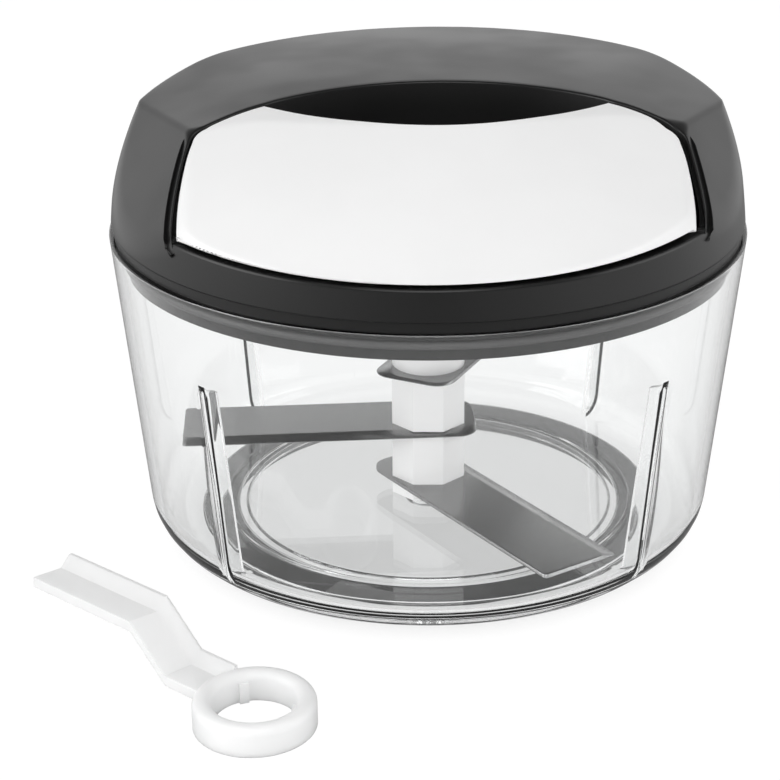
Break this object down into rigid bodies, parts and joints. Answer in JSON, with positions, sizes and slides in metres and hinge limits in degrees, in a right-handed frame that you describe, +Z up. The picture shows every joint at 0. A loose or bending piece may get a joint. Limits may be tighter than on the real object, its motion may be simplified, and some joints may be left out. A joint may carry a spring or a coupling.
{
  "type": "pull-string food chopper",
  "caption": "Hand food chopper: clear round bowl, steel blades on a turning column, and a faceted domed lid whose white handle pulls a cord to spin the blades.",
  "frame": {"origin": "on the bowl's axis, on the face that it stands on", "axes": "+Z up, -Y to the front where the handle pulls out, +X to the right"},
  "size_m": [0.1715, 0.1966, 0.115],
  "materials": {
    "clear_plastic": "clear and glossy",
    "soft_foot": "matte soft grip",
    "steel": "plain",
    "pale_plastic": "satin",
    "column_plastic": "satin, slightly translucent",
    "blade_steel": "polished with fine brushing",
    "lid_plastic": "satin charcoal",
    "inner_plastic": "satin",
    "seal_rubber": "matte silicone",
    "spring_steel": "blued strip",
    "cord": "braided",
    "handle_plastic": "satin white",
    "arm_plastic": "frosted translucent"
  },
  "bodies": {
    "bowl": {"bowl": "clear_plastic", "foot_ring": "soft_foot", "pivot_pin": "steel"},
    "pin_cap": {"pin_cap": "pale_plastic"},
    "blade_insert": {"foot_hub": "column_plastic", "lower_blade": "blade_steel", "lower_spacer": "column_plastic", "middle_blade": "blade_steel", "middle_spacer": "column_plastic", "upper_blade": "blade_steel", "drive_head": "column_plastic", "core_shaft": "pale_plastic"},
    "lid": {"lid_base": "inner_plastic", "seal_ring": "seal_rubber", "top_shell": "lid_plastic", "mechanism_cover": "inner_plastic", "hub_bush": "pale_plastic", "cord_eyelet": "steel", "recoil_spring": "spring_steel", "top_shell_screws": "steel", "cover_screws": "steel", "pull_cord": "cord"},
    "drum": {"cord_drum": "pale_plastic", "drive_socket": "pale_plastic", "drum_screw": "steel", "cord_winding": "cord"},
    "handle": {"handle_cover": "handle_plastic", "handle_liner": "inner_plastic", "cord_knot": "cord", "handle_screws": "steel"},
    "stirring_arm": {"stirring_arm": "arm_plastic"}
  },
  "joints": [
    {"name": "lid_lift", "type": "slide", "parent": "bowl", "child": "lid", "axis": [0, 0, 1], "range_m": [0, 0.2]},
    {"name": "handle_pull", "type": "slide", "parent": "lid", "child": "handle", "axis": [0, -1, 0], "range_m": [0, 0.3], "stiffness_N_per_m": 20, "springref_m": -0.05},
    {"name": "drum_spin", "type": "hinge", "parent": "lid", "child": "drum", "pos_m": [0, 0, 0.09], "axis": [0, 0, 1], "range_deg": [0, 888.33]},
    {"name": "blade_spin", "type": "hinge", "parent": "bowl", "child": "pin_cap", "pos_m": [0, 0, 0.015], "axis": [0, 0, 1], "range_deg": [0, 888.33]},
    {"name": "insert_lift", "type": "slide", "parent": "pin_cap", "child": "blade_insert", "axis": [0, 0, 1], "range_m": [0, 0.1]},
    {"name": "paddle_lift", "type": "slide", "parent": "bowl", "child": "stirring_arm", "axis": [0, 0, 1], "range_m": [0, 0.15]}
  ],
  "couplings": [
    {"joint": "drum_spin", "follows": "handle_pull", "rad_per_m": 51.68},
    {"joint": "blade_spin", "follows": "handle_pull", "rad_per_m": 51.68},
    {"joint": "insert_lift", "follows": "lid_lift", "ratio": 0.5}
  ]
}
